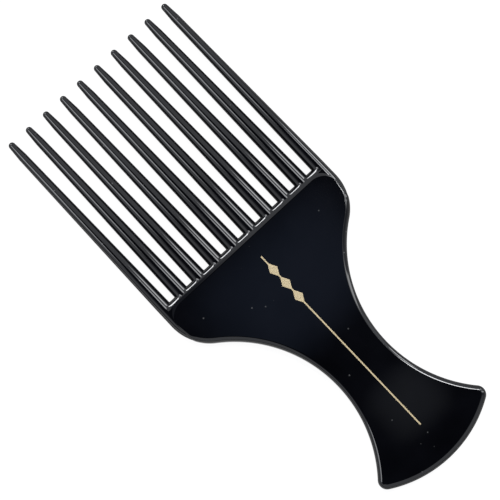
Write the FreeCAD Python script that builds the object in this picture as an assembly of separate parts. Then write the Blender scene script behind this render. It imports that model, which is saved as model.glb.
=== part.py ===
import FreeCAD, Part
import math
import os

# Body sizes in millimetres
body_thickness = 5.4
panel_step = 0.25
shoulder_drop = 6.5
shoulder_radius = 17.2
panel_corner_radius = 6.0
waist_width = 21.5
waist_radius = 46.4
waist_to_butt = 41.1
butt_radius = 42.1
flare_corner_radius = 3.0
panel_edge_radius = 1.4

# Tooth sizes
tooth_count = 10
tooth_length = 76.2
tooth_root_width = 5.37
tooth_neck_diameter = 3.05
tooth_neck_length = 6.5
tooth_tip_diameter = 2.37
tooth_edge_radius = 2.2
slot_root_width = 2.36
outer_side_trim = 0.45

# Root sizes, where the teeth run into the body
root_stub_length = 1.5
slot_corner_radius = 0.2
panel_setback = 1.55
panel_side_setback = 1.7
rail_step = 0.08

# Foil ornament sizes
foil_thickness = 0.14
foil_proud = 0.04
foil_rule_width = 0.5
foil_front_clearance = 10.0
foil_butt_clearance = 14.0
lozenge_count = 3
lozenge_length = 6.0
lozenge_width = 3.2

# Shares that limit a rounding by its wall, run the rails out and match the tooth's flats
rounding_limit_share = 0.46
flare_limit_share = 0.9
slot_limit_share = 0.4
rail_run_share = 1.3
neck_flat_share = 0.2

# Turns in radians
half_turn = math.pi
quarter_turn = half_turn / 2

# Sizes that follow from the ones above
middle_z = body_thickness / 2
tooth_root_thickness = body_thickness - 2 * panel_step
tooth_pitch = tooth_root_width + slot_root_width
half_head = (tooth_pitch * tooth_count - slot_root_width) / 2 - outer_side_trim
neck_radius = tooth_neck_diameter / 2
tip_radius = tooth_tip_diameter / 2
slot_rounding = min(slot_corner_radius, slot_limit_share * slot_root_width)
panel_rounding = min(
    panel_edge_radius,
    rounding_limit_share * body_thickness,
    flare_limit_share * flare_corner_radius,
)
root_rounding = min(
    tooth_edge_radius,
    rounding_limit_share * (tooth_root_width - outer_side_trim),
    rounding_limit_share * tooth_root_thickness,
)

# Places along the comb, which is centred on its length
shoulder_x = half_head + rail_step - shoulder_radius
waist_x = waist_width / 2 + waist_radius
shoulder_to_waist = math.sqrt((shoulder_radius + waist_radius) ** 2 - (waist_x - shoulder_x) ** 2)
overall_length = tooth_length + shoulder_drop + shoulder_to_waist + waist_to_butt
tip_y = overall_length / 2
butt_y = -overall_length / 2
root_line_y = tip_y - tooth_length
seam_y = root_line_y + root_stub_length
shoulder_y = root_line_y - shoulder_drop
waist_y = butt_y + waist_to_butt
panel_front_y = root_line_y - panel_setback
panel_side_x = half_head - panel_side_setback
panel_corner_x = panel_side_x - panel_corner_radius
front_corner_y = panel_front_y - panel_corner_radius
shoulder_corner_y = shoulder_y - math.sqrt(
    (shoulder_radius - panel_corner_radius) ** 2 - (panel_corner_x - shoulder_x) ** 2
)


# The point to the left of the way between two centres that lies at both reaches
def meeting_point(first, first_reach, second, second_reach):
    way = second - first
    along = (first_reach ** 2 - second_reach ** 2 + way.Length ** 2) / (2 * way.Length)
    aside = math.sqrt(first_reach ** 2 - along ** 2)
    way.normalize()
    return first + way * along + FreeCAD.Vector(-way.y, way.x, 0) * aside


# Arc centres of the outline, right-hand side
shoulder_centre = FreeCAD.Vector(shoulder_x, shoulder_y, 0)
waist_centre = FreeCAD.Vector(waist_x, waist_y, 0)
butt_centre = FreeCAD.Vector(0, butt_y + butt_radius, 0)
front_corner_centre = FreeCAD.Vector(panel_corner_x, front_corner_y, 0)
shoulder_corner_centre = FreeCAD.Vector(panel_corner_x, shoulder_corner_y, 0)
flare_centre = meeting_point(
    waist_centre, waist_radius + flare_corner_radius, butt_centre, butt_radius - flare_corner_radius
)


# Points and arcs in the plane of the comb
def flat_point(centre, radius, angle):
    return centre + FreeCAD.Vector(radius * math.cos(angle), radius * math.sin(angle), 0)


def flat_arc(centre, radius, start, end):
    points = [flat_point(centre, radius, angle) for angle in (start, (start + end) / 2, end)]
    return Part.Arc(*points).toShape()


def flat_line(start_x, start_y, end_x, end_y):
    return Part.makeLine(FreeCAD.Vector(start_x, start_y, 0), FreeCAD.Vector(end_x, end_y, 0))


def bearing(first, second):
    return math.atan2(second.y - first.y, second.x - first.x)


# A plate centred on the middle plane, from the right-hand half of its outline
def mirrored_plate(half_outline, thickness):
    left_half = [edge.mirror(FreeCAD.Vector(0, 0, 0), FreeCAD.Vector(1, 0, 0)) for edge in half_outline]
    outline = Part.Wire(Part.sortEdges(half_outline + left_half)[0])
    outline.translate(FreeCAD.Vector(0, 0, middle_z - thickness / 2))
    return Part.Face(outline).extrude(FreeCAD.Vector(0, 0, thickness))


def lies_flat(edge):
    return edge.BoundBox.ZLength < panel_step


# The handle with its raised panel, rounded all the way round
def handle_panel():
    to_corner = bearing(shoulder_centre, shoulder_corner_centre)
    to_waist = bearing(shoulder_centre, waist_centre)
    to_flare = bearing(waist_centre, flare_centre) + 2 * half_turn
    butt_to_flare = bearing(butt_centre, flare_centre)
    half_outline = [
        flat_line(0, panel_front_y, panel_corner_x, panel_front_y),
        flat_arc(front_corner_centre, panel_corner_radius, quarter_turn, 0),
        flat_line(panel_side_x, front_corner_y, panel_side_x, shoulder_corner_y),
        flat_arc(shoulder_corner_centre, panel_corner_radius, 0, to_corner),
        flat_arc(shoulder_centre, shoulder_radius, to_corner, to_waist),
        flat_arc(waist_centre, waist_radius, to_waist + half_turn, to_flare),
        flat_arc(flare_centre, flare_corner_radius, to_flare - half_turn, butt_to_flare),
        flat_arc(butt_centre, butt_radius, butt_to_flare, -quarter_turn),
    ]
    solid = mirrored_plate(half_outline, body_thickness)
    return solid.makeFillet(panel_rounding, [edge for edge in solid.Edges if lies_flat(edge)])


# Middle and sides of a tooth's root; the outer sides of the first and last tooth line up with the head
def tooth_x(number):
    return (number - (tooth_count - 1) / 2) * tooth_pitch


def root_left(number):
    return max(tooth_x(number) - tooth_root_width / 2, -half_head)


def root_right(number):
    return min(tooth_x(number) + tooth_root_width / 2, half_head)


# Half of a slot's bottom, or all of it where it lies clear of the middle line
def slot_outline(right):
    left = right - slot_root_width
    corner_y = root_line_y + slot_rounding
    right_corner = FreeCAD.Vector(right - slot_rounding, corner_y, 0)
    edges = [
        flat_line(right, seam_y, right, corner_y),
        flat_arc(right_corner, slot_rounding, 0, -quarter_turn),
    ]
    if left < 0:
        return edges + [flat_line(right - slot_rounding, root_line_y, 0, root_line_y)]
    left_corner = FreeCAD.Vector(left + slot_rounding, corner_y, 0)
    return edges + [
        flat_line(right - slot_rounding, root_line_y, left + slot_rounding, root_line_y),
        flat_arc(left_corner, slot_rounding, -quarter_turn, -half_turn),
        flat_line(left, corner_y, left, seam_y),
    ]


# The root bar: side rails, tooth stubs and slot bottoms, a step lower than the panel
def root_bar():
    rail_radius = half_head - shoulder_x
    rail_end_angle = rail_run_share * bearing(shoulder_centre, shoulder_corner_centre)
    rail_end = flat_point(shoulder_centre, rail_radius, rail_end_angle)
    half_outline = [
        flat_line(0, rail_end.y, rail_end.x, rail_end.y),
        flat_arc(shoulder_centre, rail_radius, rail_end_angle, 0),
        flat_line(half_head, shoulder_y, half_head, seam_y),
    ]
    for number in range(tooth_count):
        left = root_left(number)
        if root_right(number) > 0:
            half_outline.append(flat_line(root_right(number), seam_y, max(left, 0), seam_y))
        if left > 0:
            half_outline.extend(slot_outline(left))
    solid = mirrored_plate(half_outline, tooth_root_thickness)
    outer_rim = []
    for edge in solid.Edges:
        below_seam = edge.BoundBox.YMin < seam_y - rail_step
        above_back = edge.BoundBox.YMax > rail_end.y + rail_step
        if lies_flat(edge) and below_seam and above_back:
            outer_rim.append(edge)
    return solid.makeFillet(root_rounding, outer_rim)


# The foil ornament: a long rule that carries a short chain of lozenges
def foil_ornament():
    bottom = body_thickness + foil_proud - foil_thickness
    rule_top = root_line_y - foil_front_clearance
    rule_end = butt_y + foil_butt_clearance
    rule_corner = FreeCAD.Vector(-foil_rule_width / 2, rule_end, bottom)
    shape = Part.makeBox(foil_rule_width, rule_top - rule_end, foil_thickness, rule_corner)
    for number in range(lozenge_count):
        centre_y = rule_top - (number + 1) * lozenge_length
        points = [
            FreeCAD.Vector(lozenge_width / 2, centre_y, bottom),
            FreeCAD.Vector(0, centre_y + lozenge_length / 2, bottom),
            FreeCAD.Vector(-lozenge_width / 2, centre_y, bottom),
            FreeCAD.Vector(0, centre_y - lozenge_length / 2, bottom),
        ]
        lozenge = Part.Face(Part.makePolygon(points + points[:1]))
        shape = shape.fuse(lozenge.extrude(FreeCAD.Vector(0, 0, foil_thickness)))
    return shape.removeSplitter()


# Points and arcs in a plane across a tooth
def upright_arc(centre, radius, start, end):
    points = []
    for angle in (start, (start + end) / 2, end):
        points.append(centre + FreeCAD.Vector(radius * math.cos(angle), 0, radius * math.sin(angle)))
    return Part.Arc(*points).toShape()


# The root section: four rounded corners joined by four flats
def root_section(left, right):
    half_flat = (right - left) / 2 - root_rounding
    half_wall = tooth_root_thickness / 2 - root_rounding
    signs = [(1, 1), (-1, 1), (-1, -1), (1, -1)]
    corners = []
    for turn, (side, height) in enumerate(signs):
        corner_x = (left + right) / 2 + side * half_flat
        centre = FreeCAD.Vector(corner_x, seam_y, middle_z + height * half_wall)
        corners.append(upright_arc(centre, root_rounding, turn * quarter_turn, (turn + 1) * quarter_turn))
    edges = []
    for turn, corner in enumerate(corners):
        next_corner = corners[(turn + 1) % len(corners)]
        edges.extend([corner, Part.makeLine(corner.lastVertex().Point, next_corner.firstVertex().Point)])
    return Part.Wire(edges)


# The neck section: a circle cut into arcs that match the root's corners and flats
def neck_section(centre):
    flat = neck_flat_share * quarter_turn
    edges = []
    for turn in range(4):
        start = turn * quarter_turn + flat / 2
        corner_end = start + quarter_turn - flat
        edges.append(upright_arc(centre, neck_radius, start, corner_end))
        edges.append(upright_arc(centre, neck_radius, corner_end, start + quarter_turn))
    return Part.Wire(edges)


# One tooth: a rounded bar that tapers to a neck, then a steeper cone with a round tip
def tooth(number):
    forward = FreeCAD.Vector(0, 1, 0)
    neck_centre = FreeCAD.Vector(tooth_x(number), tip_y - tooth_neck_length, middle_z)
    tip_centre = FreeCAD.Vector(tooth_x(number), tip_y - tip_radius, middle_z)
    sections = [root_section(root_left(number), root_right(number)), neck_section(neck_centre)]
    shank = Part.makeLoft(sections, True, True)
    cone = Part.makeCone(neck_radius, tip_radius, tip_centre.y - neck_centre.y, neck_centre, forward)
    tip = Part.makeSphere(tip_radius, tip_centre, forward, 0, 90, 360)
    return shank.fuse([cone, tip]).removeSplitter()


os.makedirs("parts", exist_ok=True)

foil = foil_ornament()
handle_body = handle_panel().fuse(root_bar()).removeSplitter().cut(foil)
handle_body.exportStep("parts/handle_body.step")
foil.exportStep("parts/foil_ornament.step")
for index in range(tooth_count):
    tooth(index).exportStep("parts/tooth_%02d.step" % (index + 1))
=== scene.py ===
import math
import bpy
import bmesh
from mathutils import Matrix, Vector


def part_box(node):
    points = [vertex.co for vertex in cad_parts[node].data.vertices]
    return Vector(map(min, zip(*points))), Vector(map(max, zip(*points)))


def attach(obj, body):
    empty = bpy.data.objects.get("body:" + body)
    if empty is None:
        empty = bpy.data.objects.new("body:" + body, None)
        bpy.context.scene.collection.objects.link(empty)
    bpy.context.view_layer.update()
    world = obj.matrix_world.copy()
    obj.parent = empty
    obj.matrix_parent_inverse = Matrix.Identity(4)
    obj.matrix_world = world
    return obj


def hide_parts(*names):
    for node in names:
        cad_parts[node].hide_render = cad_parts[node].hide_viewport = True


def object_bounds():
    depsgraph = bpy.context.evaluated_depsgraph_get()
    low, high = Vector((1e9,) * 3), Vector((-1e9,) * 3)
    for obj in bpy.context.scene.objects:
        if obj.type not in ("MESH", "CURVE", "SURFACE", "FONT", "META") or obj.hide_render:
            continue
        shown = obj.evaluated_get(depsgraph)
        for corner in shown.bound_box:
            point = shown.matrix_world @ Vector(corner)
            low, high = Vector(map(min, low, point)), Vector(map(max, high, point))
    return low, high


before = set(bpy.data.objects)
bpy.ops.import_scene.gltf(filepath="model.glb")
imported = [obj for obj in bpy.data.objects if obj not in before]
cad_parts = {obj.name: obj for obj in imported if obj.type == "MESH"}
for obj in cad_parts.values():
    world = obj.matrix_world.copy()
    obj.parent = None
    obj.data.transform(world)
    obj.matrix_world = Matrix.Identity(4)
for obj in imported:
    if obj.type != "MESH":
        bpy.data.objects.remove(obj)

cad_low, cad_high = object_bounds()

# Unit of the named sizes, in metres
mm = 0.001

# Outline of the body
shoulder_drop = 6.5 * mm
shoulder_radius = 17.2 * mm
waist_width = 21.5 * mm
waist_radius = 46.4 * mm
waist_to_butt = 41.1 * mm
butt_radius = 42.1 * mm
flare_corner_radius = 3.0 * mm

# Panel and roots of the teeth
panel_setback = 1.55 * mm
panel_side_setback = 1.7 * mm
panel_corner_radius = 6.0 * mm
root_stub_length = 1.5 * mm
slot_corner_radius = 0.2 * mm
rail_step = 0.08 * mm
rail_run_share = 1.3

# Edge of the panel: its rim, its rounding beside the rails, and the ramp and rounded foot at its front
rim_round_in = 1.6 * mm
rim_round_down = 1.6 * mm
side_round = 0.03 * mm
ramp_start_in = 1.7 * mm
ramp_end_in = 0.04 * mm
ramp_drop = 0.23 * mm
foot_drop = 1.2 * mm

# Tooth neck and tip, and foil ornament
neck_radius = 1.525 * mm
neck_length = 6.5 * mm
tip_radius = 1.185 * mm
foil_rule_width = 0.5 * mm
lozenge_count = 3
lozenge_length = 6.0 * mm

# Floor, and the gap that keeps it clear of the comb's back
floor_width = 3000 * mm
floor_gap = 0.02 * mm

# Camera: lens and sensor in millimetres, place, target, roll in degrees, and the nearest distance it shows
lens_length = 120
sensor_width = 36
camera_x = -42.62 * mm
camera_y = -70.35 * mm
camera_height = 545.45 * mm
target_x = -0.95 * mm
target_y = 5.94 * mm
target_height = 2.7 * mm
camera_roll = 43.042
camera_near = 10 * mm

# Patterns in the materials, in cells or waves to the metre
dust_scale = 260
cloud_scale = 60
grain_scale = 2500

# Mesh fineness, and the angle in degrees from which an edge is sharp
outline_step = 0.5 * mm
fine_step = 0.15 * mm
profile_steps = 14
ramp_steps = 6
tooth_rings = 60
neck_rings = 8
tip_rings = 10
weld_distance = 0.001 * mm
least_arc_steps = 4
sharp_angle = 30

# Sizes read from the frame
body_low, body_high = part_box("handle_body")
tooth_names = sorted(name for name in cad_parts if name.startswith("tooth_"))
tooth_boxes = [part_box(name) for name in tooth_names]
tooth_low, tooth_high = tooth_boxes[0]
next_low, next_high = tooth_boxes[1]
foil_low, foil_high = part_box("foil_ornament")
half_head = body_high.x
half_thickness = (body_high.z - body_low.z) / 2
middle_z = (body_high.z + body_low.z) / 2
half_root_thickness = (tooth_high.z - tooth_low.z) / 2
slot_width = next_low.x - tooth_high.x
half_root_width = (next_high.x - next_low.x) / 2
rail_round_in = tooth_high.x - tooth_low.x - half_root_width
tooth_pitch = next_high.x - tooth_high.x
tip_y = tooth_high.y
seam_y = body_high.y
root_line_y = seam_y - root_stub_length
slot_corner_y = root_line_y + slot_corner_radius
butt_y = body_low.y
neck_y = tip_y - neck_length
side_taper = (half_root_width - neck_radius) / (neck_y - seam_y)
height_taper = (half_root_thickness - neck_radius) / (neck_y - seam_y)

# Arc centres of the outline, right-hand side
shoulder_centre = Vector((half_head + rail_step - shoulder_radius, root_line_y - shoulder_drop))
waist_centre = Vector((waist_width / 2 + waist_radius, butt_y + waist_to_butt))
butt_centre = Vector((0, butt_y + butt_radius))
panel_front_y = root_line_y - panel_setback
panel_side_x = half_head - panel_side_setback
front_corner = Vector((panel_side_x - panel_corner_radius, panel_front_y - panel_corner_radius))


# The point to the left of the way between two centres that lies at both reaches
def meeting_point(first, first_reach, second, second_reach):
    way = second - first
    along = (first_reach ** 2 - second_reach ** 2 + way.length ** 2) / (2 * way.length)
    aside = math.sqrt(first_reach ** 2 - along ** 2)
    way.normalize()
    return first + way * along + Vector((-way.y, way.x)) * aside


flare_centre = meeting_point(
    waist_centre, waist_radius + flare_corner_radius, butt_centre, butt_radius - flare_corner_radius
)
side_reach = front_corner.x - shoulder_centre.x
shoulder_corner = Vector((
    front_corner.x,
    shoulder_centre.y - math.sqrt((shoulder_radius - panel_corner_radius) ** 2 - side_reach ** 2),
))
rim_end_y = (shoulder_centre + (shoulder_corner - shoulder_centre).normalized() * shoulder_radius).y


# A path is a list of (x, y, outward x, outward y)
def line_path(start, end, outward, step):
    length = math.dist(start, end)
    count = max(1, round(length / step))
    path = []
    for number in range(count + 1):
        share = number / count
        x = start[0] + (end[0] - start[0]) * share
        y = start[1] + (end[1] - start[1]) * share
        path.append((x, y, outward[0], outward[1]))
    return path


def arc_path(centre, radius, start, end, side, step):
    count = max(least_arc_steps, round(abs(end - start) * radius / step))
    path = []
    for number in range(count + 1):
        angle = start + (end - start) * number / count
        across, along = math.cos(angle), math.sin(angle)
        path.append((centre[0] + radius * across, centre[1] + radius * along, side * across, side * along))
    return path


def joined(*paths):
    points = list(paths[0])
    for path in paths[1:]:
        points.extend(path[1:])
    return points


def bearing(first, second):
    return math.atan2(second[1] - first[1], second[0] - first[0])


def mirrored(path):
    return [(-x, y, -out_x, out_y) for x, y, out_x, out_y in reversed(path)]


# Stretches the outward directions round a corner, so that the edges beside it meet in a mitre
def mitred(path):
    points = []
    for x, y, out_x, out_y in path:
        longer = max(abs(out_x), abs(out_y))
        points.append((x, y, out_x / longer, out_y / longer))
    return points


# The rounded edge, from the top's flat round the wall to the bottom's flat: (inset, height)
def edge_profile(half_height, round_in, round_down):
    upper = []
    for number in range(profile_steps + 1):
        angle = math.pi / 2 * number / profile_steps
        upper.append((round_in * (1 - math.sin(angle)), half_height - round_down * (1 - math.cos(angle))))
    return upper + under_side(upper)


# The same edge under the middle plane, without a second point on the plane
def under_side(upper):
    return [(inset, -height) for inset, height in reversed(upper) if height > weld_distance]


def blend(first, second, share):
    return first + (second - first) * share


def add_strip(mesh, path, profile_at):
    rows = []
    for x, y, out_x, out_y in path:
        row = [
            mesh.verts.new((x - inset * out_x, y - inset * out_y, middle_z + height))
            for inset, height in profile_at(y)
        ]
        rows.append(row)
    for first, second in zip(rows, rows[1:]):
        add_quads(mesh, first, second)
    return rows


def add_quads(mesh, first, second):
    for upper in range(len(first) - 1):
        mesh.faces.new((first[upper], second[upper], second[upper + 1], first[upper + 1]))


def finished_object(name, mesh, material):
    bmesh.ops.remove_doubles(mesh, verts=mesh.verts, dist=weld_distance)
    bmesh.ops.recalc_face_normals(mesh, faces=mesh.faces)
    for edge in mesh.edges:
        edge.smooth = edge.calc_face_angle(0) < math.radians(sharp_angle)
    for face in mesh.faces:
        face.smooth = True
    data = bpy.data.meshes.new(name)
    mesh.to_mesh(data)
    mesh.free()
    piece = bpy.data.objects.new(name, data)
    bpy.context.scene.collection.objects.link(piece)
    data.materials.append(material)
    weighted = piece.modifiers.new("even_flats", "WEIGHTED_NORMAL")
    weighted.keep_sharp = True
    return piece


# The handle with its raised panel
def panel_path():
    to_corner = bearing(shoulder_centre, shoulder_corner)
    to_waist = bearing(shoulder_centre, waist_centre)
    to_flare = bearing(waist_centre, flare_centre) + 2 * math.pi
    butt_to_flare = bearing(butt_centre, flare_centre)
    half = joined(
        line_path((0, panel_front_y), (front_corner.x, panel_front_y), (0, 1), outline_step),
        arc_path(front_corner, panel_corner_radius, math.pi / 2, 0, 1, outline_step),
        line_path((panel_side_x, front_corner.y), (panel_side_x, shoulder_corner.y), (1, 0), outline_step),
        arc_path(shoulder_corner, panel_corner_radius, 0, to_corner, 1, outline_step),
        arc_path(shoulder_centre, shoulder_radius, to_corner, to_waist, 1, outline_step),
        arc_path(waist_centre, waist_radius, to_waist + math.pi, to_flare, -1, outline_step),
        arc_path(flare_centre, flare_corner_radius, to_flare - math.pi, butt_to_flare, 1, fine_step),
        arc_path(butt_centre, butt_radius, butt_to_flare, -math.pi / 2, 1, outline_step),
    )
    return joined(half, mirrored(half))[:-1]


# The curved ramp with its rounded foot at the panel's front
def ramp_profile():
    upper = []
    for number in range(ramp_steps):
        share = number / ramp_steps
        upper.append((blend(ramp_start_in, ramp_end_in, share), half_thickness - ramp_drop * share ** 2))
    foot_steps = profile_steps - ramp_steps
    for number in range(foot_steps + 1):
        angle = math.pi / 2 * number / foot_steps
        inset = ramp_end_in * (1 - math.sin(angle))
        upper.append((inset, half_thickness - ramp_drop - foot_drop * (1 - math.cos(angle))))
    return upper + under_side(upper)


# How far a place has come on the way from one place to another, between none and one
def way_share(place, start, end):
    return min(max((place - start) / (end - start), 0), 1)


# The panel's edge: a rim that sharpens beside the rails, then opens into the ramp
def panel_profile(y):
    beside_rails = way_share(y, rim_end_y, front_corner.y)
    at_front = way_share(y, front_corner.y, panel_front_y)
    rim = edge_profile(half_thickness, rim_round_in, rim_round_down)
    side = edge_profile(half_thickness, side_round, side_round)
    points = []
    for rim_point, side_point, ramp_point in zip(rim, side, ramp_profile()):
        inset = blend(blend(rim_point[0], side_point[0], beside_rails), ramp_point[0], at_front)
        height = blend(blend(rim_point[1], side_point[1], beside_rails), ramp_point[1], at_front ** 2)
        points.append((inset, height))
    return points


def add_panel(mesh):
    rows = add_strip(mesh, panel_path(), panel_profile)
    add_quads(mesh, rows[-1], rows[0])
    mesh.faces.new([row[0] for row in rows])
    mesh.faces.new([row[-1] for row in rows])


# The root bar with its rails, tooth stubs and slot bottoms; the stubs have the round section of the teeth
def slot_path(right):
    left = right - slot_width
    lean = side_taper * stub_depth(root_line_y)
    right_corner = (right - lean - slot_corner_radius, slot_corner_y)
    left_corner = (left + lean + slot_corner_radius, slot_corner_y)
    quarter = math.pi / 2
    return joined(
        line_path((right, seam_y), (right - lean, slot_corner_y), (-1, 0), fine_step),
        mitred(arc_path(right_corner, slot_corner_radius, 0, -quarter, -1, fine_step)),
        line_path((right_corner[0], root_line_y), (left_corner[0], root_line_y), (0, 1), fine_step),
        mitred(arc_path(left_corner, slot_corner_radius, -quarter, -2 * quarter, -1, fine_step)),
        line_path((left + lean, slot_corner_y), (left, seam_y), (1, 0), fine_step),
    )


# How far behind the seam a stub has come; the bar behind the stubs keeps their full size
def stub_depth(y):
    return seam_y - max(y, slot_corner_y)


def slot_profile(y):
    half_height = half_root_thickness + height_taper * stub_depth(y)
    return edge_profile(half_height, half_root_width + side_taper * stub_depth(y), half_height)


def rail_path():
    rail_end_angle = rail_run_share * bearing(shoulder_centre, shoulder_corner)
    rail_radius = half_head - shoulder_centre.x
    return joined(
        arc_path(shoulder_centre, rail_radius, rail_end_angle, 0, 1, outline_step),
        line_path((half_head, shoulder_centre.y), (half_head, slot_corner_y), (1, 0), outline_step),
        line_path((half_head, slot_corner_y), (half_head, seam_y), (1, 0), fine_step),
    )


def rail_profile(y):
    half_height = half_root_thickness + height_taper * stub_depth(y)
    return edge_profile(half_height, rail_round_in, half_height)


def add_root_bar(mesh):
    chains = [add_strip(mesh, rail_path(), rail_profile)]
    for box in reversed(tooth_boxes[1:]):
        chains.append(add_strip(mesh, slot_path(box[0].x), slot_profile))
    chains.append(add_strip(mesh, mirrored(rail_path()), rail_profile))
    behind_stubs = [row for chain in chains for row in chain if row[0].co.y < slot_corner_y + weld_distance]
    mesh.faces.new([row[0] for row in behind_stubs])
    mesh.faces.new([row[-1] for row in behind_stubs])
    for first, second in zip(chains, chains[1:]):
        mesh.faces.new(first[-1] + list(reversed(second[0])))
    add_quads(mesh, chains[-1][-1], chains[0][0])


def make_body(material):
    mesh = bmesh.new()
    add_panel(mesh)
    add_root_bar(mesh)
    piece = finished_object("comb_body", mesh, material)
    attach(piece, "root")
    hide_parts("handle_body")


# One tooth: round sections that taper to a neck, then faster to a round tip
def tooth_section(mesh, centre, y, left_reach, right_reach, half_height):
    right = edge_profile(half_height, right_reach, half_height)
    left = edge_profile(half_height, left_reach, half_height)
    points = [(right_reach - inset, height) for inset, height in right]
    points += [(inset - left_reach, height) for inset, height in reversed(left[1:-1])]
    return [mesh.verts.new((centre + x, y, middle_z + height)) for x, height in points]


def make_tooth(number, material):
    name = tooth_names[number]
    low, high = tooth_boxes[number]
    neck_x = (number - (len(tooth_names) - 1) / 2) * tooth_pitch
    root_x = high.x - half_root_width if neck_x < 0 else low.x + half_root_width
    dome_y = tip_y - tip_radius
    mesh = bmesh.new()
    sections = []
    for ring in range(tooth_rings + 1):
        share = ring / tooth_rings
        sections.append(tooth_section(
            mesh,
            blend(root_x, neck_x, share),
            blend(seam_y, neck_y, share),
            blend(root_x - low.x, neck_radius, share),
            blend(high.x - root_x, neck_radius, share),
            blend(half_root_thickness, neck_radius, share),
        ))
    for ring in range(1, neck_rings):
        share = ring / neck_rings
        radius = blend(neck_radius, tip_radius, share)
        sections.append(tooth_section(mesh, neck_x, blend(neck_y, dome_y, share), radius, radius, radius))
    for ring in range(tip_rings):
        angle = math.pi / 2 * ring / tip_rings
        radius = tip_radius * math.cos(angle)
        y = dome_y + tip_radius * math.sin(angle)
        sections.append(tooth_section(mesh, neck_x, y, radius, radius, radius))
    for first, second in zip(sections, sections[1:]):
        add_quads(mesh, first + first[:1], second + second[:1])
    mesh.faces.new(sections[0])
    tip = mesh.verts.new((neck_x, tip_y, middle_z))
    last = sections[-1]
    for first, second in zip(last, last[1:] + last[:1]):
        mesh.faces.new((first, second, tip))
    piece = finished_object("comb_" + name, mesh, material)
    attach(piece, "root")
    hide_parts(name)


# The foil ornament: a long rule that carries a chain of lozenges
def make_foil(material):
    half_rule = foil_rule_width / 2
    half_lozenge = foil_high.x
    crossing = lozenge_length / 2 * (1 - half_rule / half_lozenge)
    right = [(half_rule, foil_high.y)]
    for number in range(lozenge_count):
        centre = foil_high.y - (number + 1) * lozenge_length
        right.extend([(half_rule, centre + crossing), (half_lozenge, centre), (half_rule, centre - crossing)])
    right.append((half_rule, foil_low.y))
    outline = right + [(-x, y) for x, y in reversed(right)]
    mesh = bmesh.new()
    top = [mesh.verts.new((x, y, foil_high.z)) for x, y in outline]
    bottom = [mesh.verts.new((x, y, foil_low.z)) for x, y in outline]
    mesh.faces.new(top)
    mesh.faces.new(bottom)
    for number in range(len(outline)):
        following = (number + 1) % len(outline)
        mesh.faces.new((top[number], top[following], bottom[following], bottom[number]))
    piece = finished_object("foil_gold", mesh, material)
    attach(piece, "root")
    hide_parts("foil_ornament")


# Materials
def new_material(name):
    material = bpy.data.materials.new(name)
    material.use_nodes = True
    nodes = material.node_tree.nodes
    nodes.clear()
    output = nodes.new("ShaderNodeOutputMaterial")
    return material, nodes, material.node_tree.links, output


# Scattered specks of dust: the middles of a few of the cells that divide the surface
def dust_cover(nodes, links, place):
    cells = nodes.new("ShaderNodeTexVoronoi")
    cells.inputs["Scale"].default_value = dust_scale
    links.new(place.outputs["Object"], cells.inputs["Vector"])
    speck = nodes.new("ShaderNodeMapRange")
    speck.inputs["From Min"].default_value = 0.09
    speck.inputs["From Max"].default_value = 0.04
    links.new(cells.outputs["Distance"], speck.inputs["Value"])
    chosen = nodes.new("ShaderNodeMath")
    chosen.operation = "GREATER_THAN"
    chosen.inputs[1].default_value = 0.6
    links.new(cells.outputs["Color"], chosen.inputs[0])
    cover = nodes.new("ShaderNodeMath")
    cover.operation = "MULTIPLY"
    links.new(speck.outputs["Result"], cover.inputs[0])
    links.new(chosen.outputs["Value"], cover.inputs[1])
    return cover.outputs["Value"]


def plastic_material():
    material, nodes, links, output = new_material("black_plastic")
    shader = nodes.new("ShaderNodeBsdfPrincipled")
    links.new(shader.outputs["BSDF"], output.inputs["Surface"])
    place = nodes.new("ShaderNodeTexCoord")
    cloud = nodes.new("ShaderNodeTexNoise")
    cloud.inputs["Scale"].default_value = cloud_scale
    cloud.inputs["Detail"].default_value = 4
    links.new(place.outputs["Object"], cloud.inputs["Vector"])
    tint = nodes.new("ShaderNodeValToRGB")
    tint.color_ramp.elements[0].position = 0.35
    tint.color_ramp.elements[0].color = (0.0008, 0.0009, 0.0014, 1)
    tint.color_ramp.elements[1].position = 0.7
    tint.color_ramp.elements[1].color = (0.0021, 0.0023, 0.0033, 1)
    links.new(cloud.outputs["Fac"], tint.inputs["Fac"])
    dusted = nodes.new("ShaderNodeMixRGB")
    dusted.inputs["Color2"].default_value = (0.07, 0.07, 0.07, 1)
    links.new(dust_cover(nodes, links, place), dusted.inputs["Fac"])
    links.new(tint.outputs["Color"], dusted.inputs["Color1"])
    links.new(dusted.outputs["Color"], shader.inputs["Base Color"])
    gloss = nodes.new("ShaderNodeMapRange")
    gloss.inputs["To Min"].default_value = 0.02
    gloss.inputs["To Max"].default_value = 0.05
    links.new(cloud.outputs["Fac"], gloss.inputs["Value"])
    links.new(gloss.outputs["Result"], shader.inputs["Roughness"])
    shader.inputs["IOR"].default_value = 1.6
    turned = nodes.new("ShaderNodeLayerWeight")
    sheen = nodes.new("ShaderNodeMapRange")
    sheen.inputs["From Min"].default_value = 0.28
    sheen.inputs["From Max"].default_value = 0.6
    sheen.inputs["To Min"].default_value = 0.5
    sheen.inputs["To Max"].default_value = 0.01
    links.new(turned.outputs["Facing"], sheen.inputs["Value"])
    links.new(sheen.outputs["Result"], shader.inputs["Specular IOR Level"])
    return material


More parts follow.
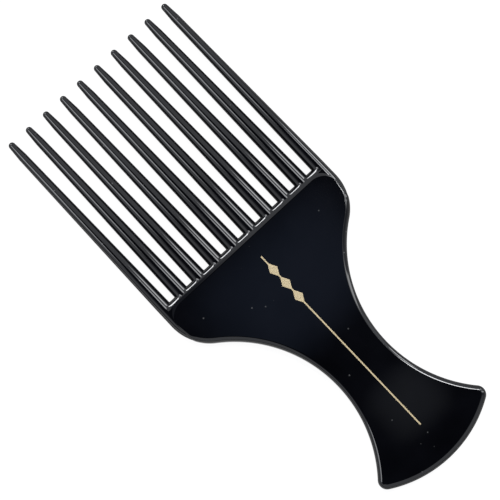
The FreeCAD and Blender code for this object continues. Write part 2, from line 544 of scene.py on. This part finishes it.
def foil_material():
    material, nodes, links, output = new_material("gold_foil")
    shader = nodes.new("ShaderNodeBsdfPrincipled")
    links.new(shader.outputs["BSDF"], output.inputs["Surface"])
    place = nodes.new("ShaderNodeTexCoord")
    grain = nodes.new("ShaderNodeTexNoise")
    grain.inputs["Scale"].default_value = grain_scale
    links.new(place.outputs["Object"], grain.inputs["Vector"])
    tint = nodes.new("ShaderNodeValToRGB")
    tint.color_ramp.elements[0].color = (0.375, 0.295, 0.162, 1)
    tint.color_ramp.elements[1].color = (0.62, 0.52, 0.33, 1)
    links.new(grain.outputs["Fac"], tint.inputs["Fac"])
    links.new(tint.outputs["Color"], shader.inputs["Base Color"])
    shader.inputs["Metallic"].default_value = 0.6
    shader.inputs["Roughness"].default_value = 0.45
    return material


def floor_material():
    material, nodes, links, output = new_material("white_floor")
    paper = nodes.new("ShaderNodeBsdfDiffuse")
    paper.inputs["Color"].default_value = (0.85, 0.85, 0.85, 1)
    glow = nodes.new("ShaderNodeEmission")
    glow.inputs["Strength"].default_value = 0.92
    shade = nodes.new("ShaderNodeBsdfDiffuse")
    shade.inputs["Color"].default_value = (0.14, 0.14, 0.14, 1)
    seen = nodes.new("ShaderNodeAddShader")
    links.new(glow.outputs["Emission"], seen.inputs[0])
    links.new(shade.outputs["BSDF"], seen.inputs[1])
    mix = nodes.new("ShaderNodeMixShader")
    links.new(seen_rays(nodes, links), mix.inputs["Fac"])
    links.new(paper.outputs["BSDF"], mix.inputs[1])
    links.new(seen.outputs["Shader"], mix.inputs[2])
    links.new(mix.outputs["Shader"], output.inputs["Surface"])
    return material


# One for rays that show a surface, straight or by a mirror or glass
def seen_rays(nodes, links):
    path = nodes.new("ShaderNodeLightPath")
    total = path.outputs["Is Camera Ray"]
    for name in ("Is Glossy Ray", "Is Transmission Ray"):
        larger = nodes.new("ShaderNodeMath")
        larger.operation = "MAXIMUM"
        links.new(total, larger.inputs[0])
        links.new(path.outputs[name], larger.inputs[1])
        total = larger.outputs["Value"]
    return total


# Stage, light and camera
def make_floor(material):
    mesh = bmesh.new()
    half = floor_width / 2
    corners = [(-half, -half), (half, -half), (half, half), (-half, half)]
    mesh.faces.new([mesh.verts.new((x, y, cad_low.z - floor_gap)) for x, y in corners])
    data = bpy.data.meshes.new("floor")
    mesh.to_mesh(data)
    mesh.free()
    data.materials.append(material)
    floor = bpy.data.objects.new("floor", data)
    bpy.context.scene.collection.objects.link(floor)


# The room in soft patches, one over another: centre, half size and slant in degrees, softness and colour
room_colour = (0.04, 0.04, 0.05, 1)
room_spots = {
    "walls": ((0, 0), (76, 76), 0, 0.08, (0.70, 0.72, 0.77, 1)),
    "dim_lower_wall": ((58, -36), (34, 14), -30, 0.4, (0.42, 0.43, 0.46, 1)),
    "dark_left": ((-30, 3), (11, 8.5), 0, 0.5, (0.05, 0.05, 0.07, 1)),
    "dark_wedge": ((27, -17), (20, 5), -35, 0.4, (0.21, 0.22, 0.25, 1)),
    "front_lamp": ((4, 56), (13, 7), 0, 0.35, (19.5, 19.8, 20.3, 1)),
    "left_band": ((-27, 18.8), (12.5, 6.3), 0, 0.14, (4.4, 4.5, 4.7, 1)),
    "dark_front": ((-5.75, 23.5), (9.25, 12), 0, 0.14, (0.12, 0.13, 0.16, 1)),
    "dark_ceiling": ((-7.5, 4.8), (18, 10.2), 0, 0.1, (0.01, 0.01, 0.015, 1)),
    "ceiling_glow": ((4.6, 6.2), (2.2, 1.5), 0, 0.8, (0.10, 0.13, 0.21, 1)),
    "ceiling_gap": ((4.8, 0.5), (0.8, 0.7), 0, 0.9, (0.13, 0.14, 0.16, 1)),
    "right_window": ((50, 0), (28, 6), -6, 0.3, (0.98, 1.02, 1.09, 1)),
    "upper_strip_near": ((18.5, 7.85), (7.5, 3.6), 0, 0.12, (5.3, 5.4, 5.6, 1)),
    "upper_strip_far": ((51.5, 7.9), (9, 3.7), 0, 0.12, (7.0, 7.1, 7.3, 1)),
    "low_lamp": ((17, 5.8), (5.5, 2.0), 0, 0.3, (29.0, 29.4, 30.1, 1)),
    "lower_strip": ((46, -11.5), (24, 3.6), -18.5, 0.2, (4.1, 4.2, 4.3, 1)),
}


# The turn of a direction about the comb's length from straight above, and its tilt along it, in radians
def sky_map(nodes, links):
    place = nodes.new("ShaderNodeTexCoord")
    split = nodes.new("ShaderNodeSeparateXYZ")
    links.new(place.outputs["Generated"], split.inputs["Vector"])
    turn = nodes.new("ShaderNodeMath")
    turn.operation = "ARCTAN2"
    links.new(split.outputs["X"], turn.inputs[0])
    links.new(split.outputs["Z"], turn.inputs[1])
    tilt = nodes.new("ShaderNodeMath")
    tilt.operation = "ARCSINE"
    links.new(split.outputs["Y"], tilt.inputs[0])
    flat = nodes.new("ShaderNodeCombineXYZ")
    links.new(turn.outputs["Value"], flat.inputs["X"])
    links.new(tilt.outputs["Value"], flat.inputs["Y"])
    return flat.outputs["Vector"]


def add_spot(nodes, links, sky, below, spot):
    (turn, tilt), (half_turn, half_tilt), slant, softness, colour = spot
    fitted = nodes.new("ShaderNodeMapping")
    fitted.vector_type = "TEXTURE"
    fitted.inputs["Location"].default_value = (math.radians(turn), math.radians(tilt), 0)
    fitted.inputs["Rotation"].default_value = (0, 0, math.radians(slant))
    fitted.inputs["Scale"].default_value = (math.radians(half_turn), math.radians(half_tilt), 1)
    links.new(sky, fitted.inputs["Vector"])
    squared = nodes.new("ShaderNodeVectorMath")
    squared.operation = "MULTIPLY"
    links.new(fitted.outputs["Vector"], squared.inputs[0])
    links.new(fitted.outputs["Vector"], squared.inputs[1])
    reach = nodes.new("ShaderNodeVectorMath")
    reach.operation = "LENGTH"
    links.new(squared.outputs["Vector"], reach.inputs[0])
    cover = nodes.new("ShaderNodeMapRange")
    cover.interpolation_type = "SMOOTHSTEP"
    cover.inputs["From Min"].default_value = (1 + softness) ** 2
    cover.inputs["From Max"].default_value = (1 - softness) ** 2
    links.new(reach.outputs["Value"], cover.inputs["Value"])
    layer = nodes.new("ShaderNodeMixRGB")
    layer.inputs["Color2"].default_value = colour
    links.new(cover.outputs["Result"], layer.inputs["Fac"])
    if below is None:
        layer.inputs["Color1"].default_value = room_colour
    else:
        links.new(below, layer.inputs["Color1"])
    return layer.outputs["Color"]


def make_world():
    world = bpy.data.worlds.new("studio")
    bpy.context.scene.world = world
    world.use_nodes = True
    nodes = world.node_tree.nodes
    links = world.node_tree.links
    nodes.clear()
    sky = sky_map(nodes, links)
    room = None
    for spot in room_spots.values():
        room = add_spot(nodes, links, sky, room, spot)
    output = nodes.new("ShaderNodeOutputWorld")
    around = nodes.new("ShaderNodeBackground")
    links.new(room, around.inputs["Color"])
    white = nodes.new("ShaderNodeBackground")
    white.inputs["Color"].default_value = (1, 1, 1, 1)
    path = nodes.new("ShaderNodeLightPath")
    mix = nodes.new("ShaderNodeMixShader")
    links.new(path.outputs["Is Camera Ray"], mix.inputs["Fac"])
    links.new(around.outputs["Background"], mix.inputs[1])
    links.new(white.outputs["Background"], mix.inputs[2])
    links.new(mix.outputs["Shader"], output.inputs["Surface"])


def make_camera():
    lens = bpy.data.cameras.new("photo_camera")
    lens.lens = lens_length
    lens.sensor_width = sensor_width
    lens.clip_start = camera_near
    holder = bpy.data.objects.new("photo_camera", lens)
    bpy.context.scene.collection.objects.link(holder)
    place = Vector((camera_x, camera_y, camera_height))
    target = Vector((target_x, target_y, target_height))
    roll = math.radians(camera_roll)
    back = (place - target).normalized()
    upwards = Vector((math.sin(roll), math.cos(roll), 0))
    right = upwards.cross(back).normalized()
    upwards = back.cross(right)
    turn = Matrix((right, upwards, back)).transposed()
    holder.matrix_world = Matrix.Translation(place) @ turn.to_4x4()
    bpy.context.scene.camera = holder


plastic = plastic_material()
make_body(plastic)
for tooth_number in range(len(tooth_names)):
    make_tooth(tooth_number, plastic)
make_foil(foil_material())
make_floor(floor_material())
make_world()
make_camera()
bpy.context.scene.view_settings.view_transform = "Standard"
